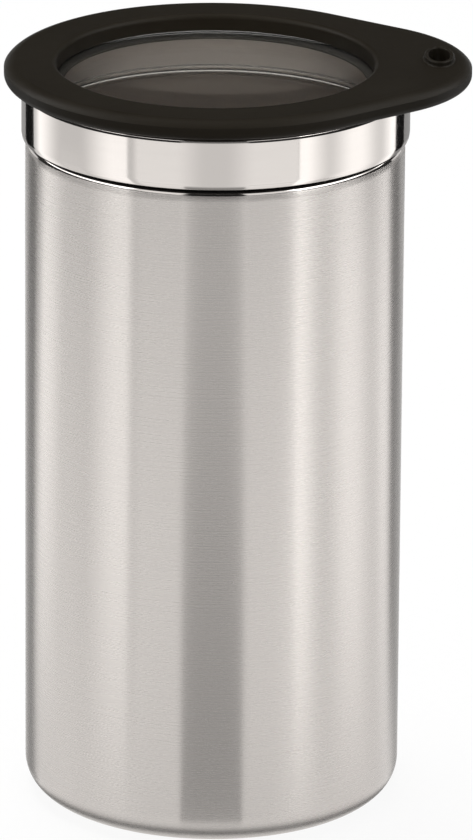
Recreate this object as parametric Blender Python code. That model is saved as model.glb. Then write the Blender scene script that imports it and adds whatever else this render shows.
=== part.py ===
"""Coffee canister: a drawn steel can with a polished collar, and a lid with a glass window that lifts off.

Metres, +Z up. The origin is the middle of the base, and the lid's grip tab points to +X.
"""

import math

import bmesh
import bpy
from mathutils import Vector

MM = 0.001

# Gap between pieces that touch on the real canister.
FIT_GAP = 0.3 * MM

# Steel can, drawn from one sheet. Radii are of its outside.
CAN_RADIUS = 51.0 * MM
CAN_HEIGHT = 201.1 * MM
SHEET = 0.7 * MM
BASE_FILLET = 8.9 * MM
COLLAR_PROUD = 1.25 * MM
COLLAR_DEPTH = 14.6 * MM
RIM_ROLL_RADIUS = 1.8 * MM
RIM_ROLL_TURN = math.radians(240)

# Below the collar: its hem leans in and folds under, over a crevice and the wall's leaning shoulder.
HEM_BEND = 8.0 * MM
HEM_LEAN = math.radians(12)
HEM_ROUND = 0.4 * MM
HEM_FOLD = 0.1 * MM
CREVICE_RADIUS = 0.35 * MM
SHOULDER_HEIGHT = 3.3 * MM
SHOULDER_LEAN = math.radians(33)

# Lid frame: a flange with a window, and a skirt that goes into the mouth. The flange's top curves down to a
# crease on its side, and its bottom edge is round.
LID_OVERHANG = 4.4 * MM
FLANGE_THICKNESS = 5.2 * MM
CREST_RADIUS = 4.0 * MM
CREST_DROP = 1.8 * MM
UNDER_ROUND = 1.75 * MM
WINDOW_DEPTH = 4.8 * MM
WINDOW_FILLET = 1.4 * MM
SKIRT_WALL = 1.0 * MM

# Grip tab and its hang hole, which has a raised oval lip.
TAB_REACH = 12.0 * MM
TAB_TIP_RADIUS = 39.0 * MM
HOLE_INSET = 8.8 * MM
HOLE_HALF_LENGTH = 6.4 * MM
HOLE_HALF_WIDTH = 2.9 * MM
LIP_WALL = 1.1 * MM
LIP_RISE = 1.6 * MM
LIP_ROUND = 0.45 * MM

# Glass pane, clamped under the frame's window by a ring that also holds the seal.
PANE_THICKNESS = 3.0 * MM
PANE_GRIP = 2.1 * MM
PANE_ARRIS = 0.4 * MM
CLAMP_GRIP = 4.1 * MM
CLAMP_NOSE = 0.5 * MM
CLAMP_FLANGE = 1.0 * MM
CLAMP_COVER = 1.0 * MM

# Sealing ring: a band with soft fins that press on the rolled rim.
SEAL_HEIGHT = 3.2 * MM
SEAL_WALL = 0.7 * MM
FIN_REACH = 1.35 * MM
FIN_THICKNESS = 0.8 * MM
FIN_TIP_THICKNESS = 0.4 * MM
FIN_COUNT = 2

# How finely round shapes are divided.
TURN_STEPS = 64
FLANGE_STEPS = 80
OVAL_STEPS = 32
FILLET_STEPS = 5
BEND_STEPS = 4
CREVICE_STEPS = 4
ROLL_STEPS = 8
EDGE_STEPS = 4
ROUND_STEPS = 2
SHARP_ANGLE = math.radians(35)
MERGE_DISTANCE = 0.001 * MM

# Radii that follow, from the collar inwards.
COLLAR_RADIUS = CAN_RADIUS + COLLAR_PROUD
MOUTH_RADIUS = COLLAR_RADIUS - 2 * RIM_ROLL_RADIUS
FIN_TIP_RADIUS = MOUTH_RADIUS - FIT_GAP
SEAL_OUTER = FIN_TIP_RADIUS - FIN_REACH
SEAL_INNER = SEAL_OUTER - SEAL_WALL
SKIRT_OUTER = SEAL_INNER - FIT_GAP
SKIRT_INNER = SKIRT_OUTER - SKIRT_WALL
PANE_RADIUS = SKIRT_INNER - FIT_GAP
WINDOW_RADIUS = PANE_RADIUS - PANE_GRIP
CLAMP_INNER = PANE_RADIUS - CLAMP_GRIP
LID_RADIUS = COLLAR_RADIUS + LID_OVERHANG
TAB_TIP = LID_RADIUS + TAB_REACH
TAB_CENTRE = TAB_TIP - TAB_TIP_RADIUS
HOLE_CENTRE = TAB_TIP - HOLE_INSET

# Levels that follow: the collar's hem, then from the rim upwards and down into the mouth.
HEM = CAN_HEIGHT - COLLAR_DEPTH
UNDERSIDE = CAN_HEIGHT + FIT_GAP
LAND = UNDERSIDE + FLANGE_THICKNESS
PANE_TOP = LAND - WINDOW_DEPTH
PANE_BOTTOM = PANE_TOP - PANE_THICKNESS
SHOULDER = PANE_TOP + FIT_GAP
SEAL_TOP = UNDERSIDE - FIT_GAP
SEAL_BOTTOM = SEAL_TOP - SEAL_HEIGHT
SKIRT_BOTTOM = SEAL_BOTTOM
CLAMP_TOP = PANE_BOTTOM - FIT_GAP
CLAMP_SHELF = SKIRT_BOTTOM - FIT_GAP
CLAMP_BOTTOM = CLAMP_SHELF - CLAMP_FLANGE


def clear_scene():
    for obj in list(bpy.data.objects):
        bpy.data.objects.remove(obj, do_unlink=True)


def make_material(name, colour, roughness, metallic=0.0, transmission=0.0):
    material = bpy.data.materials.new(name)
    material.use_nodes = True
    shader = material.node_tree.nodes["Principled BSDF"]
    shader.inputs["Base Color"].default_value = (*colour, 1.0)
    shader.inputs["Roughness"].default_value = roughness
    shader.inputs["Metallic"].default_value = metallic
    shader.inputs["Transmission Weight"].default_value = transmission
    return material


def add_object(name, bm, material=None, parent=None):
    """Closes the mesh, shades it smooth up to its sharp edges and puts it in the scene."""
    bmesh.ops.remove_doubles(bm, verts=bm.verts, dist=MERGE_DISTANCE)
    bmesh.ops.recalc_face_normals(bm, faces=bm.faces)
    mesh = bpy.data.meshes.new(name)
    bm.to_mesh(mesh)
    bm.free()
    mesh.shade_smooth()
    mesh.set_sharp_from_angle(angle=SHARP_ANGLE)
    obj = bpy.data.objects.new(name, mesh)
    bpy.context.scene.collection.objects.link(obj)
    if material:
        mesh.materials.append(material)
    if parent:
        obj.parent = parent
        obj.matrix_parent_inverse = parent.matrix_world.inverted()
    return obj


def arc(centre, radius, start, end, steps):
    """Points (r, z) on an arc, with the unit vector from its centre to each."""
    points = []
    for i in range(steps + 1):
        angle = start + (end - start) * i / steps
        ray = Vector((math.cos(angle), math.sin(angle)))
        points.append((Vector(centre) + radius * ray, ray))
    return points


def arc_points(centre, radius, start, end, steps):
    return [point for point, _ in arc(centre, radius, start, end, steps)]


def turned(name, profile, material, parent=None):
    """A solid turned round the Z axis from (r, z) points. The profile is closed by the axis or by itself."""
    bm = bmesh.new()
    verts = [bm.verts.new((r, 0, z)) for r, z in profile]
    edges = [bm.edges.new(pair) for pair in zip(verts, verts[1:])]
    if profile[0][0] > 0:
        edges.append(bm.edges.new((verts[-1], verts[0])))
    bmesh.ops.spin(bm, geom=verts + edges, cent=(0, 0, 0), axis=(0, 0, 1), angle=math.tau, steps=TURN_STEPS)
    return add_object(name, bm, material, parent)


def can_surface(hem_round):
    """The can from the middle of the base to the end of the rolled rim, as points with outward normals."""
    half = math.pi / 2
    path = [(Vector((0, 0)), Vector((0, -1)))]
    path += arc((CAN_RADIUS - BASE_FILLET, BASE_FILLET), BASE_FILLET, -half, 0, FILLET_STEPS)

    # The wall's shoulder leans in to the crevice.
    shoulder = SHOULDER_HEIGHT / math.sin(SHOULDER_LEAN)
    across = Vector((math.cos(SHOULDER_LEAN), math.sin(SHOULDER_LEAN)))
    foot = Vector((CAN_RADIUS - shoulder, HEM - CREVICE_RADIUS * (1 + across.y) - SHOULDER_HEIGHT))
    path += arc(foot, shoulder, 0, SHOULDER_LEAN, BEND_STEPS)
    crevice = foot + (shoulder + CREVICE_RADIUS) * across
    hollow = arc(crevice, CREVICE_RADIUS, math.pi + SHOULDER_LEAN, half, CREVICE_STEPS)
    path += [(point, -ray) for point, ray in hollow[1:]]

    # The hem folds out from the crevice and bends up into the collar.
    inset = HEM_BEND * (1 - math.cos(HEM_LEAN)) + hem_round * math.cos(HEM_LEAN)
    path += arc((COLLAR_RADIUS - inset, HEM + hem_round), hem_round, -half, -HEM_LEAN, ROUND_STEPS)
    bend_height = HEM + hem_round * (1 - math.sin(HEM_LEAN)) + HEM_BEND * math.sin(HEM_LEAN)
    path += arc((COLLAR_RADIUS - HEM_BEND, bend_height), HEM_BEND, -HEM_LEAN, 0, ROUND_STEPS)[1:]
    roll_centre = (COLLAR_RADIUS - RIM_ROLL_RADIUS, CAN_HEIGHT - RIM_ROLL_RADIUS)
    path += arc(roll_centre, RIM_ROLL_RADIUS, 0, RIM_ROLL_TURN, ROLL_STEPS)
    return path


def build_can(steel):
    """The outside's hem is pressed sharper than the sheet folds, so the inside follows a rounder one."""
    outside = [point for point, _ in can_surface(HEM_ROUND)]
    inside = [point - SHEET * normal for point, normal in can_surface(SHEET + HEM_FOLD)]
    return turned("canister_body", inside + outside[::-1], steel)


def flange_outline(angle):
    """The point of the lid's plan outline at this polar angle, and its outward normal.

    The outline wraps the round flange and the tab's tip circle, joined by straight tangents.
    """
    ray = Vector((math.cos(angle), math.sin(angle)))
    side = math.copysign(1, ray.y)
    lean = math.acos((LID_RADIUS - TAB_TIP_RADIUS) / TAB_CENTRE)
    tangent = Vector((math.cos(lean), side * math.sin(lean)))
    tip_centre = Vector((TAB_CENTRE, 0))
    if ray.angle(Vector((1, 0))) >= lean:
        return LID_RADIUS * ray, ray
    tip_join = tip_centre + TAB_TIP_RADIUS * tangent
    if ray.angle(Vector((1, 0))) >= tip_join.angle(Vector((1, 0))):
        return ray * LID_RADIUS / ray.dot(tangent), tangent
    along = tip_centre.dot(ray)
    point = ray * (along + math.sqrt(along**2 - TAB_CENTRE**2 + TAB_TIP_RADIUS**2))
    return point, (point - tip_centre).normalized()


def frame_section(angle):
    """The frame's closed section at this polar angle, as points in space."""
    ray = Vector((math.cos(angle), math.sin(angle)))
    edge, normal = flange_outline(angle)
    half = math.pi / 2
    fillet_centre = (WINDOW_RADIUS + WINDOW_FILLET, LAND - WINDOW_FILLET)
    window = arc_points(fillet_centre, WINDOW_FILLET, math.pi, half, EDGE_STEPS)
    section = [(ray * r).to_3d() + Vector((0, 0, z)) for r, z in [(WINDOW_RADIUS, SHOULDER), *window]]
    crest = math.acos(1 - CREST_DROP / CREST_RADIUS)
    crest_centre = (-CREST_RADIUS * math.sin(crest), LAND - CREST_RADIUS)
    rim = arc_points(crest_centre, CREST_RADIUS, half, half - crest, EDGE_STEPS)
    rim += arc_points((-UNDER_ROUND, UNDERSIDE + UNDER_ROUND), UNDER_ROUND, 0, -half, EDGE_STEPS)
    for out, z in rim:
        section.append((edge + out * normal).to_3d() + Vector((0, 0, z)))
    skirt = [
        (SKIRT_OUTER, UNDERSIDE),
        (SKIRT_OUTER, SKIRT_BOTTOM),
        (SKIRT_INNER, SKIRT_BOTTOM),
        (SKIRT_INNER, SHOULDER),
    ]
    return section + [(ray * r).to_3d() + Vector((0, 0, z)) for r, z in skirt]


def oval_solid(name, levels):
    """A solid of stacked ovals round the hang hole. Each level is (margin outside the hole, z)."""
    bm = bmesh.new()
    rings = []
    for margin, z in levels:
        ring = []
        for i in range(OVAL_STEPS):
            angle = math.tau * i / OVAL_STEPS
            x = HOLE_CENTRE + (HOLE_HALF_WIDTH + margin) * math.cos(angle)
            y = (HOLE_HALF_LENGTH + margin) * math.sin(angle)
            ring.append(bm.verts.new((x, y, z)))
        rings.append(ring)
    for low, high in zip(rings, rings[1:]):
        for i in range(OVAL_STEPS):
            j = (i + 1) % OVAL_STEPS
            bm.faces.new((low[i], low[j], high[j], high[i]))
    bm.faces.new(rings[0])
    bm.faces.new(rings[-1])
    return add_object(name, bm)


def cut(obj, operation, tool):
    modifier = obj.modifiers.new(tool.name, "BOOLEAN")
    modifier.operation = operation
    modifier.solver = "EXACT"
    modifier.object = tool
    tool.hide_render = True
    tool.display_type = "WIRE"


def apply_modifiers(obj):
    """Bakes the cuts into the mesh, so that its sharp edges can be set, and removes the tools."""
    tools = [modifier.object for modifier in obj.modifiers]
    graph = bpy.context.evaluated_depsgraph_get()
    mesh = bpy.data.meshes.new_from_object(obj.evaluated_get(graph))
    obj.modifiers.clear()
    obj.data = mesh
    mesh.shade_smooth()
    mesh.set_sharp_from_angle(angle=SHARP_ANGLE)
    for tool in tools:
        bpy.data.objects.remove(tool, do_unlink=True)


def build_frame(plastic, parent):
    bm = bmesh.new()
    sections = []
    for i in range(FLANGE_STEPS):
        sections.append([bm.verts.new(point) for point in frame_section(math.tau * i / FLANGE_STEPS)])
    count = len(sections[0])
    for i, section in enumerate(sections):
        following = sections[(i + 1) % FLANGE_STEPS]
        for k in range(count):
            m = (k + 1) % count
            bm.faces.new((section[k], section[m], following[m], following[k]))
    frame = add_object("lid_frame", bm, plastic, parent)
    quarter = math.pi / 2
    lip_top = LAND + LIP_RISE
    lip_out = arc_points((LIP_WALL - LIP_ROUND, lip_top - LIP_ROUND), LIP_ROUND, 0, quarter, ROUND_STEPS)
    lip = oval_solid("hang_hole_lip_blank", [(LIP_WALL, LAND - FLANGE_THICKNESS / 2), *lip_out])
    lip_in = arc_points((LIP_ROUND, lip_top - LIP_ROUND), LIP_ROUND, math.pi, quarter, ROUND_STEPS)
    overrun = LIP_RISE
    bore = [(0, UNDERSIDE - overrun), *lip_in, (LIP_ROUND, lip_top + overrun)]
    cut(frame, "UNION", lip)
    cut(frame, "DIFFERENCE", oval_solid("hang_hole_cutter", bore))
    apply_modifiers(frame)
    return frame


def build_pane(glass, parent):
    flat = PANE_RADIUS - PANE_ARRIS
    profile = [
        (0, PANE_TOP),
        (flat, PANE_TOP),
        (PANE_RADIUS, PANE_TOP - PANE_ARRIS),
        (PANE_RADIUS, PANE_BOTTOM + PANE_ARRIS),
        (flat, PANE_BOTTOM),
        (0, PANE_BOTTOM),
    ]
    return turned("glass_pane", profile, glass, parent)


def build_clamp_ring(plastic, parent):
    cover = SKIRT_OUTER + CLAMP_COVER
    profile = [
        (CLAMP_INNER, CLAMP_TOP),
        (PANE_RADIUS, CLAMP_TOP),
        (PANE_RADIUS, CLAMP_SHELF),
        (cover, CLAMP_SHELF),
        (cover, CLAMP_BOTTOM),
        (CLAMP_INNER, CLAMP_TOP - CLAMP_NOSE),
    ]
    return turned("clamp_ring", profile, plastic, parent)


def build_seal(silicone, parent):
    """The band's outside carries evenly spaced fins, each tapering to its tip."""
    profile = [(SEAL_OUTER, SEAL_TOP)]
    pitch = SEAL_HEIGHT / FIN_COUNT
    for i in range(FIN_COUNT):
        middle = SEAL_TOP - pitch * (i + 0.5)
        tip = FIN_TIP_THICKNESS / 2
        profile += [
            (SEAL_OUTER, middle + FIN_THICKNESS / 2),
            (FIN_TIP_RADIUS, middle + tip),
            (FIN_TIP_RADIUS, middle - tip),
            (SEAL_OUTER, middle - FIN_THICKNESS / 2),
        ]
    profile += [(SEAL_OUTER, SEAL_BOTTOM), (SEAL_INNER, SEAL_BOTTOM), (SEAL_INNER, SEAL_TOP)]
    return turned("sealing_ring", profile, silicone, parent)


def build_canister():
    clear_scene()
    steel = make_material("brushed_steel", (0.585, 0.551, 0.524), 0.3, metallic=1.0)
    black = make_material("black_plastic", (0.0105, 0.0095, 0.008), 0.5)
    grey = make_material("grey_plastic", (0.1, 0.098, 0.092), 0.45)
    glass = make_material("clear_glass", (0.9, 0.92, 0.9), 0.02, transmission=1.0)
    silicone = make_material("grey_silicone", (0.42, 0.42, 0.4), 0.5)

    # The lid's pieces hang from one empty, whose Z axis is the way it lifts off.
    lid = bpy.data.objects.new("lid_lift", None)
    lid.location = (0, 0, CAN_HEIGHT)
    bpy.context.scene.collection.objects.link(lid)
    bpy.context.view_layer.update()

    build_can(steel)
    build_frame(black, lid)
    build_pane(glass, lid)
    build_clamp_ring(grey, lid)
    build_seal(silicone, lid)


build_canister()
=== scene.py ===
"""Looks of the coffee canister: steel can with a polished collar, and a black lid with a glass window.

Metres, +Z up. The origin is the middle of the base, the lid's grip tab points to +X and the front to -Y.
"""

import math

import bmesh
import bpy
from mathutils import Matrix, Vector


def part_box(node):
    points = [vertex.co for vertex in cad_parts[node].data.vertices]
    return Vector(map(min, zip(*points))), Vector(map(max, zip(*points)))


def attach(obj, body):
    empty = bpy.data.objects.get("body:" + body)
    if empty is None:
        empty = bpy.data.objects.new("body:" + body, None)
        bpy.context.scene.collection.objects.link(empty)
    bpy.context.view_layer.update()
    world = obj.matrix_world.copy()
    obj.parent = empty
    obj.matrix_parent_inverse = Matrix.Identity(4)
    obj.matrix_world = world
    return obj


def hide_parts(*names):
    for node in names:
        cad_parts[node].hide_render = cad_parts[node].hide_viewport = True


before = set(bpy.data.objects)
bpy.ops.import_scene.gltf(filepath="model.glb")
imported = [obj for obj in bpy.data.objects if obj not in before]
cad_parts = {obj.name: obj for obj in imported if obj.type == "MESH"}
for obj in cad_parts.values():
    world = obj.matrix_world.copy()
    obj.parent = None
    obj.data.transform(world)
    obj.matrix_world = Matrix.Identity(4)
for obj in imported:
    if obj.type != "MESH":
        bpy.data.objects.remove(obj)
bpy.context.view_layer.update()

MM = 0.001
QUARTER = math.pi / 2

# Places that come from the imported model.
_, can_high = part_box("canister_body")
frame_low, frame_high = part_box("lid_frame")
pane_low, pane_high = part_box("glass_pane")
_, clamp_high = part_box("clamp_ring")
seal_low, seal_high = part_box("sealing_ring")

FIT_GAP = 0.3 * MM

# Steel can. Radii are of its outside.
COLLAR_RADIUS = can_high.x
COLLAR_PROUD = 1.25 * MM
CAN_RADIUS = COLLAR_RADIUS - COLLAR_PROUD
CAN_HEIGHT = seal_high.z
SHEET = 0.7 * MM
BASE_FILLET = 8.9 * MM
COLLAR_DEPTH = 14.6 * MM
RIM_ROLL_RADIUS = 1.8 * MM
RIM_ROLL_TURN = math.radians(240)

# Below the collar: its hem leans in and folds under, over a crevice and the wall's leaning shoulder.
# The shoulder turns over tightly into the crevice, which carries painted shade from SHADE_TURN on.
HEM = CAN_HEIGHT - COLLAR_DEPTH
HEM_BEND = 8.0 * MM
HEM_LEAN = math.radians(12)
HEM_ROUND = 0.25 * MM
HEM_FOLD = 0.1 * MM
CREVICE_RADIUS = 0.38 * MM
SHOULDER_RADIUS = 6.9 * MM
SHOULDER_LEAN = math.radians(16)
SHOULDER_TIGHT = 2.0 * MM
SHOULDER_TURN = math.radians(70)
SHADE_TURN = math.radians(42)

# The ridge that the step makes inside the can reaches this far below and above the hem, and carries a
# painted highlight.
RIDGE_DEPTH = 1.6 * MM
RIDGE_HEIGHT = 1.0 * MM

# Lid frame. The flange's top curves down to a crease on its side, and its bottom edge is round.
LID_RADIUS = -frame_low.x
TAB_TIP = frame_high.x
TAB_TIP_RADIUS = 39.0 * MM
TAB_CENTRE = TAB_TIP - TAB_TIP_RADIUS
FLANGE_THICKNESS = 5.2 * MM
CREST_RADIUS = 4.0 * MM
CREST_DROP = 1.8 * MM
UNDER_ROUND = 1.75 * MM
UNDERSIDE = seal_high.z + FIT_GAP
LAND = UNDERSIDE + FLANGE_THICKNESS
PANE_GRIP = 2.1 * MM
WINDOW_RADIUS = pane_high.x - PANE_GRIP
WINDOW_FILLET = 1.4 * MM
PANE_SHELF = pane_high.z + FIT_GAP
SKIRT_INNER = pane_high.x + FIT_GAP
SKIRT_WALL = 1.0 * MM
SKIRT_OUTER = SKIRT_INNER + SKIRT_WALL
SKIRT_BOTTOM = frame_low.z
EDGE_BREAK = 0.2 * MM

# Hang hole in the tab, with its raised lip.
HOLE_INSET = 8.8 * MM
HOLE_CENTRE = TAB_TIP - HOLE_INSET
HOLE_HALF_LENGTH = 6.4 * MM
HOLE_HALF_WIDTH = 2.9 * MM
LIP_WALL = 1.1 * MM
LIP_TOP = frame_high.z
LIP_ROUND = 0.5 * MM
LIP_FOOT = 0.6 * MM

# The round at the lip's foot stops just short of the land, so that they meet at a clear edge.
FOOT_START = -QUARTER - 0.15

# Pane, clamp ring and seal.
PANE_ARRIS = 0.4 * MM
CLAMP_GRIP = 4.1 * MM
CLAMP_INNER = pane_high.x - CLAMP_GRIP
CLAMP_NOSE = 0.5 * MM
CLAMP_FLANGE = 1.0 * MM
SEAL_INNER = SKIRT_OUTER + FIT_GAP
SEAL_WALL = 0.7 * MM
FIN_THICKNESS = 0.8 * MM
FIN_TIP_THICKNESS = 0.4 * MM
FIN_COUNT = 2

# How finely round shapes are divided.
TURN_STEPS = 192
FLANGE_STEPS = 240
OVAL_STEPS = 96
BASE_STEPS = 24
SHOULDER_STEPS = 12
TIGHT_STEPS = 16
CREVICE_STEPS = 10
HEM_STEPS = 8
BEND_STEPS = 6
ROLL_STEPS = 40
WINDOW_STEPS = 10
EDGE_STEPS = 12
SMALL_STEPS = 6
CORNER_STEPS = 4
SHARP_ANGLE = math.radians(35)
MERGE_DISTANCE = 0.001 * MM


def add_object(name, bm, materials, body):
    """Closes the mesh, shades it smooth up to its sharp edges and puts it on its CAD body."""
    bmesh.ops.remove_doubles(bm, verts=bm.verts, dist=MERGE_DISTANCE)
    bmesh.ops.recalc_face_normals(bm, faces=bm.faces)
    mesh = bpy.data.meshes.new(name)
    bm.to_mesh(mesh)
    bm.free()
    mesh.shade_smooth()
    mesh.set_sharp_from_angle(angle=SHARP_ANGLE)
    obj = bpy.data.objects.new(name, mesh)
    bpy.context.scene.collection.objects.link(obj)
    for material in materials:
        mesh.materials.append(material)
    if body:
        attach(obj, body)
    return obj


def ray_at(angle):
    """The unit vector at this angle in a plane."""
    return Vector((math.cos(angle), math.sin(angle)))


def arc(centre, radius, start, end, steps):
    """Points (r, z) on an arc, with the unit vector from its centre to each."""
    points = []
    for i in range(steps + 1):
        ray = ray_at(start + (end - start) * i / steps)
        points.append((Vector(centre) + radius * ray, ray))
    return points


def arc_points(centre, radius, start, end, steps):
    return [point for point, _ in arc(centre, radius, start, end, steps)]


def rounded(corners, radius):
    """A closed (r, z) outline with each of its corners rounded."""
    points = []
    for i, corner in enumerate(corners):
        here = Vector(corner)
        before = Vector(corners[i - 1]) - here
        after = Vector(corners[(i + 1) % len(corners)]) - here
        half_angle = before.angle(after) / 2
        reach = min(radius / math.tan(half_angle), before.length / 2, after.length / 2)
        start = here + before.normalized() * reach
        end = here + after.normalized() * reach
        for k in range(CORNER_STEPS + 1):
            t = k / CORNER_STEPS
            points.append((1 - t) ** 2 * start + 2 * t * (1 - t) * here + t**2 * end)
    return points


def even_faces(obj):
    """Keeps the shading of wide faces flat up to the rounds beside them."""
    weighted = obj.modifiers.new("even_faces", "WEIGHTED_NORMAL")
    weighted.keep_sharp = True


def turned(name, profile, materials, body, finishes=None):
    """A solid turned round the Z axis from (r, z) points. The profile is closed by the axis or by itself.

    finishes holds the material's number for the stretch after each point.
    """
    bm = bmesh.new()
    rings = []
    for r, z in profile:
        steps = TURN_STEPS if r > 0 else 1
        angles = [math.tau * i / TURN_STEPS for i in range(steps)]
        rings.append([bm.verts.new((r * math.cos(a), r * math.sin(a), z)) for a in angles])
    closed = profile[0][0] > 0
    for k, ring in enumerate(rings if closed else rings[:-1]):
        following = rings[(k + 1) % len(rings)]
        for i in range(TURN_STEPS):
            j = (i + 1) % TURN_STEPS
            corners = [ring[i % len(ring)], ring[j % len(ring)]]
            corners += [following[j % len(following)], following[i % len(following)]]
            face = bm.faces.new(list(dict.fromkeys(corners)))
            face.material_index = finishes[k] if finishes else 0
    obj = add_object(name, bm, materials, body)
    even_faces(obj)
    return obj


def shoulder_turn():
    """The centre of the shoulder's tight turn, (r, z)."""
    height = HEM - CREVICE_RADIUS - (SHOULDER_TIGHT + CREVICE_RADIUS) * math.sin(SHOULDER_TURN)
    inset = SHOULDER_RADIUS - (SHOULDER_RADIUS - SHOULDER_TIGHT) * math.cos(SHOULDER_LEAN)
    return Vector((CAN_RADIUS - inset, height))


def can_surface(hem_round):
    """The can from the middle of the base to the end of the rolled rim, as points with outward normals."""
    path = [(Vector((0, 0)), Vector((0, -1)))]
    path += arc((CAN_RADIUS - BASE_FILLET, BASE_FILLET), BASE_FILLET, -QUARTER, 0, BASE_STEPS)

    # The wall's shoulder leans in, and then turns over more tightly into the crevice.
    tight = shoulder_turn()
    foot = tight - (SHOULDER_RADIUS - SHOULDER_TIGHT) * ray_at(SHOULDER_LEAN)
    path += arc(foot, SHOULDER_RADIUS, 0, SHOULDER_LEAN, SHOULDER_STEPS)
    path += arc(tight, SHOULDER_TIGHT, SHOULDER_LEAN, SHOULDER_TURN, TIGHT_STEPS)[1:]
    crevice = tight + (SHOULDER_TIGHT + CREVICE_RADIUS) * ray_at(SHOULDER_TURN)
    hollow = arc(crevice, CREVICE_RADIUS, math.pi + SHOULDER_TURN, QUARTER, CREVICE_STEPS)
    path += [(point, -ray) for point, ray in hollow[1:]]

    # The hem folds out from the crevice and bends up into the collar.
    inset = HEM_BEND * (1 - math.cos(HEM_LEAN)) + hem_round * math.cos(HEM_LEAN)
    path += arc((COLLAR_RADIUS - inset, HEM + hem_round), hem_round, -QUARTER, -HEM_LEAN, HEM_STEPS)
    bend_height = HEM + hem_round * (1 - math.sin(HEM_LEAN)) + HEM_BEND * math.sin(HEM_LEAN)
    path += arc((COLLAR_RADIUS - HEM_BEND, bend_height), HEM_BEND, -HEM_LEAN, 0, BEND_STEPS)[1:]
    roll_centre = (COLLAR_RADIUS - RIM_ROLL_RADIUS, CAN_HEIGHT - RIM_ROLL_RADIUS)
    path += arc(roll_centre, RIM_ROLL_RADIUS, 0, RIM_ROLL_TURN, ROLL_STEPS)
    return path


def flange_outline(angle):
    """The point of the lid's plan outline at this polar angle, and its outward normal.

    The outline wraps the round flange and the tab's tip circle, joined by straight tangents.
    """
    ray = ray_at(angle)
    forward = ray_at(0)
    lean = math.acos((LID_RADIUS - TAB_TIP_RADIUS) / TAB_CENTRE)
    tangent = ray_at(math.copysign(lean, ray.y))
    tip_centre = TAB_CENTRE * forward
    if ray.angle(forward) >= lean:
        return LID_RADIUS * ray, ray
    tip_join = tip_centre + TAB_TIP_RADIUS * tangent
    if ray.angle(forward) >= tip_join.angle(forward):
        return ray * LID_RADIUS / ray.dot(tangent), tangent
    along = tip_centre.dot(ray)
    point = ray * (along + math.sqrt(along**2 - TAB_CENTRE**2 + TAB_TIP_RADIUS**2))
    return point, (point - tip_centre).normalized()


def frame_section(angle):
    """The frame's closed section at this polar angle, as points in space."""
    ray = ray_at(angle)
    edge, normal = flange_outline(angle)
    fillet_centre = (WINDOW_RADIUS + WINDOW_FILLET, LAND - WINDOW_FILLET)
    window = arc_points(fillet_centre, WINDOW_FILLET, math.pi, QUARTER, WINDOW_STEPS)
    section = [(ray * r).to_3d() + Vector((0, 0, z)) for r, z in [(WINDOW_RADIUS, PANE_SHELF), *window]]
    crest = math.acos(1 - CREST_DROP / CREST_RADIUS)
    crest_centre = (-CREST_RADIUS * math.sin(crest), LAND - CREST_RADIUS)
    rim = arc_points(crest_centre, CREST_RADIUS, QUARTER, QUARTER - crest, EDGE_STEPS)
    rim += arc_points((-UNDER_ROUND, UNDERSIDE + UNDER_ROUND), UNDER_ROUND, 0, -QUARTER, EDGE_STEPS)
    for out, z in rim:
        section.append((edge + out * normal).to_3d() + Vector((0, 0, z)))
    skirt = [
        (SKIRT_OUTER, UNDERSIDE),
        (SKIRT_OUTER, SKIRT_BOTTOM + EDGE_BREAK),
        (SKIRT_OUTER - EDGE_BREAK, SKIRT_BOTTOM),
        (SKIRT_INNER + EDGE_BREAK, SKIRT_BOTTOM),
        (SKIRT_INNER, SKIRT_BOTTOM + EDGE_BREAK),
        (SKIRT_INNER, PANE_SHELF),
    ]
    return section + [(ray * r).to_3d() + Vector((0, 0, z)) for r, z in skirt]


def oval_solid(name, levels):
    """A solid of stacked ovals round the hang hole. Each level is (margin outside the hole, z)."""
    bm = bmesh.new()
    rings = []
    for margin, z in levels:
        ring = []
        for i in range(OVAL_STEPS):
            angle = math.tau * i / OVAL_STEPS
            x = HOLE_CENTRE + (HOLE_HALF_WIDTH + margin) * math.cos(angle)
            y = (HOLE_HALF_LENGTH + margin) * math.sin(angle)
            ring.append(bm.verts.new((x, y, z)))
        rings.append(ring)
    for low, high in zip(rings, rings[1:]):
        for i in range(OVAL_STEPS):
            j = (i + 1) % OVAL_STEPS
            bm.faces.new((low[i], low[j], high[j], high[i]))
    bm.faces.new(rings[0])
    bm.faces.new(rings[-1])
    return add_object(name, bm, [], None)


def cut(obj, operation, tool):
    modifier = obj.modifiers.new(tool.name, "BOOLEAN")
    modifier.operation = operation
    modifier.solver = "EXACT"
    modifier.object = tool


def apply_modifiers(obj):
    """Bakes the cuts into the mesh and removes the tools."""
    tools = [modifier.object for modifier in obj.modifiers if modifier.type == "BOOLEAN"]
    graph = bpy.context.evaluated_depsgraph_get()
    mesh = bpy.data.meshes.new_from_object(obj.evaluated_get(graph))
    obj.modifiers.clear()
    obj.data = mesh
    mesh.shade_smooth()
    mesh.set_sharp_from_angle(angle=SHARP_ANGLE)
    for tool in tools:
        bpy.data.objects.remove(tool, do_unlink=True)


# The range that a noise fills.
NOISE_SPAN = (0.3, 0.7)


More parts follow.
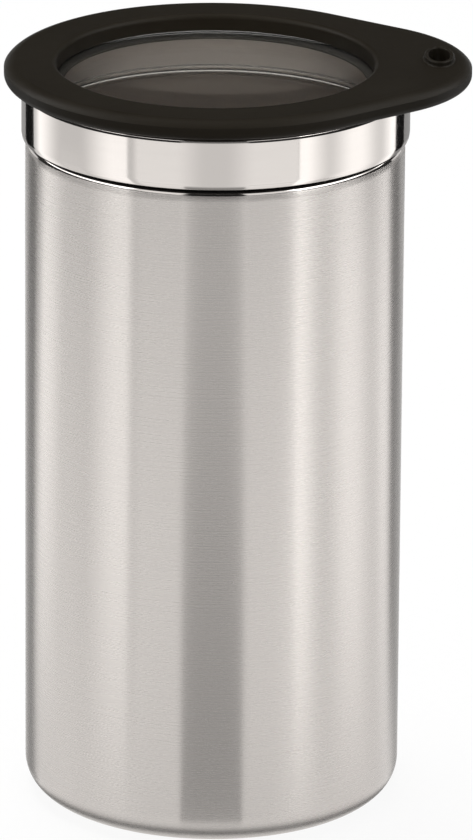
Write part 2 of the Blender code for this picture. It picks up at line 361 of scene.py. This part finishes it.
class Nodes:
    """A material's or world's node tree, with short calls to add and link nodes."""

    def __init__(self, owner):
        owner.use_nodes = True
        self.tree = owner.node_tree
        self.tree.nodes.clear()

    def add(self, kind, inputs=None, **settings):
        node = self.tree.nodes.new("ShaderNode" + kind)
        for key, value in settings.items():
            setattr(node, key, value)
        for key, value in (inputs or {}).items():
            if isinstance(value, bpy.types.NodeSocket):
                self.tree.links.new(value, node.inputs[key])
            else:
                node.inputs[key].default_value = value
        return node

    def math(self, operation, *values):
        return self.add("Math", dict(enumerate(values)), operation=operation).outputs[0]

    def fit(self, value, target, span=NOISE_SPAN):
        """The value carried from one range to another, and held at the ends."""
        ends = {"From Min": span[0], "From Max": span[1], "To Min": target[0], "To Max": target[1]}
        return self.add("MapRange", {"Value": value, **ends}).outputs[0]

    def blend(self, value, colours, span=NOISE_SPAN):
        """A colour that goes from one to the other over this range of the value."""
        node = self.add("ValToRGB", {"Fac": value})
        for element, place, colour in zip(node.color_ramp.elements, span, colours):
            element.position = place
            element.color = (*colour, 1)
        return node.outputs["Color"]

    def bump(self, height, strength, distance):
        inputs = {"Strength": strength, "Distance": distance, "Height": height}
        return self.add("Bump", inputs).outputs[0]

    def noise(self, vector, scale, detail=2.0, roughness=0.5):
        inputs = {"Vector": vector, "Scale": scale, "Detail": detail, "Roughness": roughness}
        return self.add("TexNoise", inputs).outputs[0]

    def place(self):
        return self.add("TexCoord").outputs["Object"]

    def stretched(self, across, up):
        """Object coordinates, with one scale across the object and another up it."""
        return self.add("Mapping", {"Vector": self.place(), "Scale": (across, across, up)}).outputs["Vector"]

    def surface(self, shader):
        self.add("OutputMaterial", {"Surface": shader.outputs[0]})

    def principled(self, inputs):
        self.surface(self.add("BsdfPrincipled", inputs))


def new_material(name):
    material = bpy.data.materials.new(name)
    return material, Nodes(material)


STEEL = (0.585, 0.551, 0.524)
BRUSHED_SHARES = (1.06, 1.1)
POLISHED_SHARE = 0.9
BRUSHED_SPAN = (0.35, 0.65)
FINE_SHARE = 0.6
FINE_GRAIN = 0.03 * MM
COARSE_GRAIN = 0.04 * MM
SHEET_WAVE = 0.4 * MM


def brushed_steel():
    """Steel brushed round the can: fine level lines that spread reflections up and down."""
    material, n = new_material("brushed_steel")
    fine = n.noise(n.stretched(100, 3600), 1.0, 3.0, 0.7)
    coarse = n.noise(n.stretched(40, 1500), 1.0, 3.0, 0.65)
    coarse_part = n.math("MULTIPLY", coarse, 1 - FINE_SHARE)
    lines = n.math("ADD", n.math("MULTIPLY", fine, FINE_SHARE), coarse_part)
    colours = [[c * share for c in STEEL] for share in BRUSHED_SHARES]
    n.principled(
        {
            "Base Color": n.blend(lines, colours, BRUSHED_SPAN),
            "Metallic": 1.0,
            "Roughness": n.fit(coarse, (0.265, 0.28), BRUSHED_SPAN),
            "Anisotropic": 1.0,
            "Anisotropic Rotation": 0.25,
            "Tangent": n.add("Tangent", direction_type="RADIAL", axis="Z").outputs[0],
            "Normal": n.bump(lines, 0.07, FINE_GRAIN),
        },
    )
    return material


def polished_steel():
    """Mirror-polished steel, with the faint waviness of drawn sheet."""
    material, n = new_material("polished_steel")
    waves = n.noise(n.stretched(22, 60), 1.0, 1.0)
    haze = n.noise(n.stretched(60, 900), 1.0, 3.0)
    n.principled(
        {
            "Base Color": (*[c * POLISHED_SHARE for c in STEEL], 1),
            "Metallic": 1.0,
            "Roughness": n.fit(haze, (0.06, 0.1)),
            "Normal": n.bump(waves, 0.2, SHEET_WAVE),
        },
    )
    return material


def painted_shade_steel():
    """Painted shade: near-black steel deep in the crevice, standing in for the shadow under the hem."""
    material, n = new_material("painted_shade_steel")
    scale = n.noise(n.stretched(40, 400), 1.0, 3.0)
    colour = n.blend(scale, ((0.012, 0.011, 0.01), (0.02, 0.018, 0.016)))
    n.principled({"Base Color": colour, "Metallic": 0.6, "Roughness": 0.6})
    return material


def inside_steel(name, colour, metallic, roughness):
    """Drawn steel inside the can, between satin and polished. The roughness is a range."""
    material, n = new_material(name)
    marks = n.noise(n.stretched(30, 1500), 1.0, 3.0)
    n.principled(
        {
            "Base Color": (*colour, 1),
            "Metallic": metallic,
            "Roughness": n.fit(marks, roughness),
            "Normal": n.bump(marks, 0.2, FINE_GRAIN),
        },
    )
    return material


def black_plastic():
    """Matte black moulding with a fine eroded grain."""
    material, n = new_material("black_plastic")
    grain = n.noise(n.place(), 3500, 2.0, 0.6)
    patches = n.noise(n.place(), 45, 3.0, 0.6)
    n.principled(
        {
            "Base Color": n.blend(patches, ((0.0139, 0.0109, 0.0069), (0.0158, 0.0126, 0.008))),
            "Roughness": n.fit(patches, (0.42, 0.5)),
            "Specular IOR Level": 0.08,
            "Normal": n.bump(grain, 0.25, COARSE_GRAIN),
        },
    )
    return material


def grey_plastic():
    """Smooth grey moulding under the glass."""
    material, n = new_material("grey_plastic")
    patches = n.noise(n.place(), 60, 3.0, 0.6)
    n.principled(
        {
            "Base Color": n.blend(patches, ((0.076, 0.073, 0.067), (0.088, 0.085, 0.079))),
            "Roughness": n.fit(patches, (0.4, 0.5)),
            "Specular IOR Level": 0.1,
            "Normal": n.bump(n.noise(n.place(), 2500), 0.15, FINE_GRAIN),
        },
    )
    return material


def clear_glass():
    """Clear glass that lets the light of lamps through."""
    material, n = new_material("clear_glass")
    smears = n.noise(n.place(), 60, 3.0, 0.6)
    shader = n.add(
        "BsdfPrincipled",
        {
            "Base Color": (0.955, 0.945, 0.925, 1),
            "Roughness": n.fit(smears, (0.0, 0.02), (0.4, 0.8)),
            "Transmission Weight": 1.0,
            "IOR": 1.5,
        },
    )
    clear = n.add("BsdfTransparent", {"Color": (0.86, 0.855, 0.84, 1)})
    path = n.add("LightPath")
    sockets = {0: path.outputs["Is Shadow Ray"], 1: shader.outputs[0], 2: clear.outputs[0]}
    n.surface(n.add("MixShader", sockets))
    return material


def grey_silicone():
    """Soft grey rubber that lets a little light in."""
    material, n = new_material("grey_silicone")
    bloom = n.noise(n.place(), 120, 3.0, 0.6)
    n.principled(
        {
            "Base Color": n.blend(bloom, ((0.36, 0.36, 0.34), (0.44, 0.44, 0.42))),
            "Roughness": n.fit(bloom, (0.45, 0.6)),
            "Subsurface Weight": 0.15,
            "Subsurface Radius": (2.0 * MM, 2.0 * MM, 1.8 * MM),
            "Normal": n.bump(n.noise(n.place(), 2500), 0.15, COARSE_GRAIN),
        },
    )
    return material


# The can's finishes, in the order of its materials. The crevice's finish is painted shade, and the inside
# collar's and ridge's are lighter copies of the inside steel, painted light and a painted highlight.
BRUSHED, POLISHED, INSIDE, PAINTED_SHADE, INSIDE_COLLAR_PAINTED_LIGHT, INSIDE_RIDGE_PAINTED_HIGHLIGHT = range(6)


def inside_finish(height):
    # Above the ridge the collar's inside takes painted light, and the ridge itself a painted highlight.
    if height < HEM - RIDGE_DEPTH:
        return INSIDE
    return INSIDE_RIDGE_PAINTED_HIGHLIGHT if height < HEM + RIDGE_HEIGHT else INSIDE_COLLAR_PAINTED_LIGHT


def outside_finish(height):
    """The wall and base are brushed, and what is above them polished, apart from the crevice, which carries
    painted shade.
    """
    turn = shoulder_turn().y
    if turn + SHOULDER_TIGHT * math.sin(SHADE_TURN) < height <= HEM + MERGE_DISTANCE:
        return PAINTED_SHADE
    return POLISHED if height > turn + SHOULDER_TIGHT * math.sin(SHOULDER_LEAN) else BRUSHED


def build_can():
    outside = [point for point, _ in can_surface(HEM_ROUND)]
    inner = [point - SHEET * normal for point, normal in can_surface(SHEET + HEM_FOLD)]
    descent = outside[::-1]
    finishes = [inside_finish((a.y + b.y) / 2) for a, b in zip(inner, inner[1:] + inner[-1:])]
    finishes += [outside_finish((a.y + b.y) / 2) for a, b in zip(descent, descent[1:] + inner[:1])]
    materials = [
        brushed_steel(),
        polished_steel(),
        # The inside steel is lighter than the outside's, and the collar's inside lighter and less metallic
        # still: painted light inside the can. The ridge's copy is smoother and lighter, partly a real polish
        # and partly a painted highlight.
        inside_steel("inside_steel", (0.71, 0.64, 0.58), 0.6, (0.5, 0.58)),
        painted_shade_steel(),
        inside_steel("inside_collar_painted_light", (0.84, 0.775, 0.72), 0.2, (0.5, 0.58)),
        inside_steel("inside_ridge_painted_highlight", (0.88, 0.86, 0.83), 0.9, (0.17, 0.25)),
    ]
    can = turned("can", inner + descent, materials, "canister", finishes)
    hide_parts("canister_body")


def build_frame():
    bm = bmesh.new()
    sections = []
    for i in range(FLANGE_STEPS):
        sections.append([bm.verts.new(point) for point in frame_section(math.tau * i / FLANGE_STEPS)])
    count = len(sections[0])
    for i, section in enumerate(sections):
        following = sections[(i + 1) % FLANGE_STEPS]
        for k in range(count):
            m = (k + 1) % count
            bm.faces.new((section[k], section[m], following[m], following[k]))
    lid = add_object("lid_moulding", bm, [black_plastic()], "lid")

    # The lip's blank sinks into the flange, and the bore's cutter runs out past both ends.
    overrun = FLANGE_THICKNESS / 2
    foot_centre = (LIP_WALL + LIP_FOOT, LAND + LIP_FOOT)
    foot = arc_points(foot_centre, LIP_FOOT, FOOT_START, -math.pi, SMALL_STEPS)
    lip_out = arc_points((LIP_WALL - LIP_ROUND, LIP_TOP - LIP_ROUND), LIP_ROUND, 0, QUARTER, SMALL_STEPS)
    lip = oval_solid("lip_blank", [(foot[0].x, LAND - overrun), *foot, *lip_out])
    lip_in = arc_points((LIP_ROUND, LIP_TOP - LIP_ROUND), LIP_ROUND, math.pi, QUARTER, SMALL_STEPS)
    mouth = arc_points((LIP_ROUND, UNDERSIDE + LIP_ROUND), LIP_ROUND, -QUARTER, -math.pi, SMALL_STEPS)
    bore = [(LIP_ROUND, UNDERSIDE - overrun), *mouth, *lip_in, (LIP_ROUND, LIP_TOP + overrun)]
    cut(lid, "UNION", lip)
    cut(lid, "DIFFERENCE", oval_solid("bore_cutter", bore))
    apply_modifiers(lid)
    even_faces(lid)
    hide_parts("lid_frame")


def build_pane():
    low, high, rim = pane_low.z, pane_high.z, pane_high.x
    profile = [
        Vector((0, high)),
        *arc_points((rim - PANE_ARRIS, high - PANE_ARRIS), PANE_ARRIS, QUARTER, 0, SMALL_STEPS),
        *arc_points((rim - PANE_ARRIS, low + PANE_ARRIS), PANE_ARRIS, 0, -QUARTER, SMALL_STEPS),
        Vector((0, low)),
    ]
    pane = turned("window_glass", profile, [clear_glass()], "lid")
    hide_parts("glass_pane")


def build_clamp_ring():
    shelf = SKIRT_BOTTOM - FIT_GAP
    corners = [
        (CLAMP_INNER, clamp_high.z),
        (pane_high.x, clamp_high.z),
        (pane_high.x, shelf),
        (clamp_high.x, shelf),
        (clamp_high.x, shelf - CLAMP_FLANGE),
        (CLAMP_INNER, clamp_high.z - CLAMP_NOSE),
    ]
    ring = turned("pane_clamp", rounded(corners, EDGE_BREAK), [grey_plastic()], "lid")
    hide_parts("clamp_ring")


def build_seal():
    """The band's outside carries evenly spaced fins, each tapering to its tip."""
    outer = SEAL_INNER + SEAL_WALL
    corners = [(outer, seal_high.z)]
    pitch = (seal_high.z - seal_low.z) / FIN_COUNT
    tip = FIN_TIP_THICKNESS / 2
    for i in range(FIN_COUNT):
        middle = seal_high.z - pitch * (i + 0.5)
        corners += [
            (outer, middle + FIN_THICKNESS / 2),
            (seal_high.x, middle + tip),
            (seal_high.x, middle - tip),
            (outer, middle - FIN_THICKNESS / 2),
        ]
    corners += [(outer, seal_low.z), (SEAL_INNER, seal_low.z), (SEAL_INNER, seal_high.z)]
    seal = turned("mouth_seal", rounded(corners, EDGE_BREAK / 2), [grey_silicone()], "lid")
    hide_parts("sealing_ring")


# Camera fitted to the photo's outlines, with a long lens as for a product shot.
CAMERA_PLACE = Vector((0.00626, -2.32967, 0.91087))
CAMERA_AIM = Vector((0.00626, 0, 0.10475))
CAMERA_ROLL = math.radians(0.413)
CAMERA_LENS = 389.8
SENSOR_HEIGHT = 36

# The photo's lid is turned a little on the can, so the camera and all the studio are turned the other way.
STUDIO_TURN = Matrix.Rotation(math.radians(-1.6), 4, "Z")

# Studio: cards that only reflections and glass see. Azimuth 0 on the can faces the photo's front.
CARD_STEPS = 48
FLOOR_CARD_LIFT = 0.2 * MM
LAYER_LIFT = FLOOR_CARD_LIFT / 10
BASE_SHADE_REACH = 2.5 * MM
FLOOR_SIZE = 20
FLOOR_GLOW = 0.9
SKY_FOR_DIFFUSE = 0.62
KEY_PLACE = (-0.25, 0.35, 1.9)
KEY_SIZE = 0.9
KEY_POWER = 14
BEAM_PLACE = (0, -1.9, 0.75)
BEAM_AIM = (0, 0, LAND + 1.0 * MM)
BEAM_SIZE = (0.094, 0.029)
BEAM_POWER = 80
BEAM_SOFTNESS = 0.02
BEAM_BLEND = 0.25


def stage_card(name, bm, level, feathers, through_glass=False):
    """A card of one brightness whose edges fade out, over these shares of its width and height.

    A ray that has passed glass sees only the cards made to show through it.
    """
    material, n = new_material(name)
    light = n.add("Emission", {"Color": (1, 1, 1, 1), "Strength": level})
    place = n.add("SeparateXYZ", {0: n.add("UVMap").outputs[0]})
    u, v = place.outputs["X"], place.outputs["Y"]
    depth = n.add("LightPath").outputs["Transmission Depth"]
    seen = n.math("SUBTRACT", 1.0, n.math("MINIMUM", depth, 0.0 if through_glass else 1.0))
    for share, edge in zip(feathers, (u, n.math("SUBTRACT", 1.0, u), v, n.math("SUBTRACT", 1.0, v))):
        if share:
            inputs = {"Value": edge, "From Max": share}
            fade = n.add("MapRange", inputs, interpolation_type="SMOOTHSTEP").outputs[0]
            seen = n.math("MULTIPLY", seen, fade)
    clear = n.add("BsdfTransparent")
    surface = n.add("MixShader", {0: seen, 1: clear.outputs[0], 2: light.outputs[0]})
    n.surface(surface)
    obj = add_object(name, bm, [material], None)
    obj.visible_camera = False
    obj.visible_diffuse = False
    obj.visible_shadow = False


def grid_card(name, place_at, level, feathers, through_glass=False):
    """A card whose point at shares (u, v) of its width and height is place_at(u, v)."""
    bm = bmesh.new()
    layer = bm.loops.layers.uv.new("card")
    columns = []
    for i in range(CARD_STEPS + 1):
        columns.append([bm.verts.new(STUDIO_TURN @ Vector(place_at(i / CARD_STEPS, v))) for v in (0, 1)])
    for i, (left, right) in enumerate(zip(columns, columns[1:])):
        face = bm.faces.new((left[0], right[0], right[1], left[1]))
        shares = ((i, 0), (i + 1, 0), (i + 1, 1), (i, 1))
        for loop, (u, v) in zip(face.loops, shares):
            loop[layer].uv = (u / CARD_STEPS, v)
    stage_card(name, bm, level, feathers, through_glass)


def facing(angle):
    """The level unit vector at this azimuth."""
    return Vector((math.sin(angle), -math.cos(angle), 0))


def ring_card(name, azimuths, places, level, feathers):
    """A curved card round the can's axis, from one (distance, height) to another."""
    start, end = (math.radians(a) for a in azimuths)
    (near, low), (far, high) = places

    def place_at(u, v):
        place = (near + (far - near) * v) * facing(start + (end - start) * u)
        return (place.x, place.y, low + (high - low) * v)

    grid_card(name, place_at, level, feathers, through_glass=True)


def mirrored_at(degrees, distance):
    """The plan point at this distance that the camera sees mirrored at this azimuth on the can's wall."""
    outward = facing(math.radians(degrees))
    surface = CAN_RADIUS * outward
    sight = surface - CAMERA_PLACE
    sight.z = 0
    return surface + distance * sight.normalized().reflect(outward)


def standing_card(name, azimuths, heights, distance, level, feathers):
    """An upright card that shows between two azimuths on the can, in degrees."""
    start, end = azimuths
    low, high = heights

    def place_at(u, v):
        place = mirrored_at(start + (end - start) * u, distance)
        return (place.x, place.y, low + (high - low) * v)

    grid_card(name, place_at, level, feathers)


def lying_card(name, azimuths, distances, level, feathers, height):
    """A card just over the floor that shows between two azimuths on the can, in degrees."""
    start, end = azimuths
    near, far = distances

    def place_at(u, v):
        place = mirrored_at(start + (end - start) * u, near + (far - near) * v)
        return (place.x, place.y, height)

    grid_card(name, place_at, level, feathers)


STANDING_CARDS = [
    # name, azimuths, heights, distance, level, feather shares at the left, right, bottom and top
    ("front_dark_card", (-9.8, 10.1), (0.09, 0.37), 0.75, 0.28, (0.05, 0.05, 0.1, 0)),
    ("front_room", (-9.8, 10.1), (0.37, 1.5), 0.75, 0.02, (0.05, 0.05, 0.02, 0)),
    ("left_gap", (-66, -8.8), (0.03, 0.4), 0.66, 0.03, (0.02, 0.02, 0, 0)),
    ("right_gap", (9.1, 66), (0.03, 0.4), 0.66, 0.03, (0.02, 0.02, 0, 0)),
    ("left_front_light", (-26, -9.8), (0.4, 0.9), 0.6, 1.4, (0.2, 0.05, 0, 0)),
    ("right_front_light", (10.1, 25), (0.4, 0.9), 0.6, 1.3, (0.05, 0.1, 0, 0)),
    ("left_rim_light", (-70, -51), (0.4, 0.9), 0.6, 9.0, (0.2, 0.75, 0, 0)),
    ("left_mid_light", (-56, -35), (0.4, 0.9), 0.61, 2.9, (0.2, 0.2, 0, 0)),
    ("left_wide_light", (-45, -26), (0.4, 0.9), 0.6, 3.9, (0.75, 0.1, 0, 0)),
    ("right_strip_light", (25, 35), (0.4, 0.9), 0.6, 6.3, (0.1, 0.8, 0, 0)),
    ("right_mid_light", (30, 41), (0.4, 0.9), 0.61, 4.4, (0.2, 0.2, 0, 0)),
    ("right_wide_light", (36, 57), (0.4, 0.9), 0.6, 3.9, (0.4, 0.45, 0, 0)),
    ("right_rim_light", (57, 69), (0.4, 0.9), 0.6, 8.0, (0.6, 0.1, 0, 0)),
    ("left_flag", (-75.4, -67), (0, 0.13), 0.5, 0.01, (0.04, 0.04, 0, 0.2)),
    ("right_flag", (66.8, 74.8), (0, 0.13), 0.5, 0.01, (0.04, 0.04, 0, 0.2)),
    ("left_grey_card", (-82.5, -73), (0.13, 0.8), 0.55, 1.0, (0.35, 0.1, 0, 0)),
    ("right_grey_card", (72, 86), (0.13, 0.8), 0.55, 1.25, (0.1, 0.4, 0, 0)),
    ("left_low_grey_card", (-84, -75.4), (0, 0.13), 0.55, 0.42, (0.35, 0, 0, 0)),
    ("right_low_grey_card", (74.8, 90), (0, 0.13), 0.55, 0.36, (0, 0.35, 0, 0)),
    ("left_edge_card", (-89.8, -82), (0, 0.9), 0.56, 1.6, (0, 0.4, 0, 0)),
]
BASE_SHADE_PLACES = [
    (CAN_RADIUS - BASE_SHADE_REACH, FLOOR_CARD_LIFT / 2),
    (CAN_RADIUS + BASE_SHADE_REACH, FLOOR_CARD_LIFT / 2),
]
RING_CARDS = [
    # name, true azimuths, two places (distance, height), level, feather shares
    ("back_dark_card", (120, 240), ((0.5, 0.23), (0.5, 1.4)), 0.03, (0.05, 0.05, 0, 0)),
    ("base_shade", (0, 360), BASE_SHADE_PLACES, 0.1, (0, 0, 0.1, 0.5)),
]

# Each lies a little over the one before it.
LYING_CARDS = [
    # name, azimuths, distances, level, feather shares at the left, right, near and far end
    ("front_far_mat", (-25, 25.4), (0.25, 0.72), 1.4, (0.05, 0.02, 0.1, 0)),
    ("front_middle_mat", (-12, 12.5), (0.25, 0.72), 1.05, (0.4, 0.4, 0.2, 0)),
    ("right_far_mat", (27, 62), (0.3, 0.72), 1.22, (0.2, 0.05, 0.1, 0)),
    ("left_rim_far_mat", (-66.5, -50), (0.3, 0.72), 1.9, (0.25, 0.8, 0.1, 0)),
    ("left_wide_far_mat", (-44, -25.6), (0.3, 0.72), 1.85, (0.75, 0.05, 0.1, 0)),
    ("right_strip_far_mat", (25, 36), (0.3, 0.72), 2.0, (0.05, 0.8, 0.1, 0)),
    ("right_wide_far_mat", (35, 57), (0.3, 0.72), 1.9, (0.45, 0.45, 0.1, 0)),
    ("right_rim_far_mat", (57.5, 67), (0.3, 0.72), 1.9, (0.7, 0.1, 0.1, 0)),
    ("front_dark_mat", (-9.8, 10.1), (0.01, 0.35), 0.42, (0.05, 0.05, 0, 0.3)),
    ("left_front_mat", (-25, -9.8), (0.01, 0.44), 1.36, (0.2, 0.05, 0.7, 0.3)),
    ("right_front_mat", (10.1, 25.4), (0.01, 0.44), 1.36, (0.05, 0.02, 0.7, 0.3)),
    ("left_rim_mat", (-69, -50), (0.01, 0.44), 1.6, (0.15, 0.8, 0.8, 0.2)),
    ("left_mid_mat", (-54, -40), (0.01, 0.6), 1.12, (0.3, 0.3, 0.7, 0)),
    ("left_wide_mat", (-43, -25.6), (0.01, 0.44), 1.85, (0.75, 0.05, 0.8, 0.3)),
    ("right_strip_mat", (25, 35), (0.01, 0.44), 2.1, (0.05, 0.8, 0.7, 0.3)),
    ("right_wide_mat", (36, 57), (0.01, 0.44), 1.8, (0.45, 0.45, 0.8, 0.3)),
    ("right_rim_mat", (57.5, 67.5), (0.01, 0.44), 1.7, (0.7, 0.1, 0.9, 0.2)),
    ("left_flag_mat", (-75.4, -69), (0.01, 0.5), 0.3, (0.04, 0.04, 0, 0)),
    ("right_flag_mat", (67.5, 74.8), (0.01, 0.5), 0.35, (0.04, 0.04, 0.4, 0)),
    ("left_grey_mat", (-82.5, -75.4), (0.01, 0.55), 0.45, (0.35, 0, 0, 0)),
    ("right_grey_mat", (74.8, 85), (0.01, 0.55), 0.5, (0, 0.4, 0, 0)),
]


def build_floor():
    """A white floor: it glows for the camera and for reflections, and takes the can's shadow."""
    bpy.ops.mesh.primitive_plane_add(size=FLOOR_SIZE, location=(0, 0, 0))
    floor = bpy.context.object
    floor.name = "floor"
    material, n = new_material("floor_white")
    paper = n.noise(n.place(), 400)
    diffuse = n.add("BsdfDiffuse", {"Color": n.blend(paper, ((0.1, 0.1, 0.1), (0.11, 0.11, 0.11)))})
    path = n.add("LightPath")
    seen = n.math("MAXIMUM", path.outputs["Is Camera Ray"], path.outputs["Is Glossy Ray"])
    seen = n.math("MAXIMUM", seen, path.outputs["Is Transmission Ray"])
    lift = n.add("Emission", {"Strength": n.math("MULTIPLY", seen, FLOOR_GLOW)})
    n.surface(n.add("AddShader", {0: diffuse.outputs[0], 1: lift.outputs[0]}))
    floor.data.materials.append(material)


def build_world():
    """A white sky, darker for what it lights than for what reflects it."""
    world = bpy.data.worlds.new("studio")
    bpy.context.scene.world = world
    n = Nodes(world)
    diffuse = n.add("LightPath").outputs["Is Diffuse Ray"]
    strength = n.fit(diffuse, (1.0, SKY_FOR_DIFFUSE), (0, 1))
    light = n.add("Background", {"Color": (1, 1, 1, 1), "Strength": strength})
    n.add("OutputWorld", {"Surface": light.outputs[0]})


def build_lamp(name, kind, place, aim, power):
    """A lamp that shows in no reflection."""
    data = bpy.data.lights.new(name, kind)
    data.energy = power
    lamp = bpy.data.objects.new(name, data)
    lamp.location = STUDIO_TURN @ Vector(place)
    lamp.rotation_euler = (Vector(aim) - lamp.location).to_track_quat("-Z", "Y").to_euler()
    lamp.visible_glossy = False
    lamp.visible_transmission = False
    bpy.context.scene.collection.objects.link(lamp)
    return lamp


def build_key_lamp():
    """A wide soft lamp above the can."""
    lamp = build_lamp("key_lamp", "AREA", KEY_PLACE, (0, 0, 0), KEY_POWER)
    lamp.data.shape = "DISK"
    lamp.data.size = KEY_SIZE


def build_window_beam():
    """A soft oval spot through the window, as wide and high at the lid as BEAM_SIZE says."""
    lamp = build_lamp("window_beam", "SPOT", BEAM_PLACE, BEAM_AIM, BEAM_POWER)
    width, height = BEAM_SIZE
    distance = (Vector(BEAM_AIM) - lamp.location).length
    lamp.data.spot_size = 2 * math.atan(width / 2 / distance)
    lamp.data.spot_blend = BEAM_BLEND
    lamp.data.shadow_soft_size = BEAM_SOFTNESS
    lamp.scale = (1, height / width, 1)


def build_camera():
    data = bpy.data.cameras.new("camera")
    data.sensor_fit = "VERTICAL"
    data.sensor_height = SENSOR_HEIGHT
    data.lens = CAMERA_LENS
    camera = bpy.data.objects.new("camera", data)
    turn = (CAMERA_AIM - CAMERA_PLACE).to_track_quat("-Z", "Y").to_matrix().to_4x4()
    place = Matrix.Translation(CAMERA_PLACE) @ turn @ Matrix.Rotation(CAMERA_ROLL, 4, "Z")
    camera.matrix_world = STUDIO_TURN @ place
    bpy.context.scene.collection.objects.link(camera)
    bpy.context.scene.camera = camera


build_camera()
build_can()
build_frame()
build_pane()
build_clamp_ring()
build_seal()
build_floor()
build_world()
for row in STANDING_CARDS:
    standing_card(*row)
for layer, row in enumerate(LYING_CARDS):
    lying_card(*row, FLOOR_CARD_LIFT + layer * LAYER_LIFT)
for row in RING_CARDS:
    ring_card(*row)
build_key_lamp()
build_window_beam()
bpy.context.scene.view_settings.view_transform = "Standard"
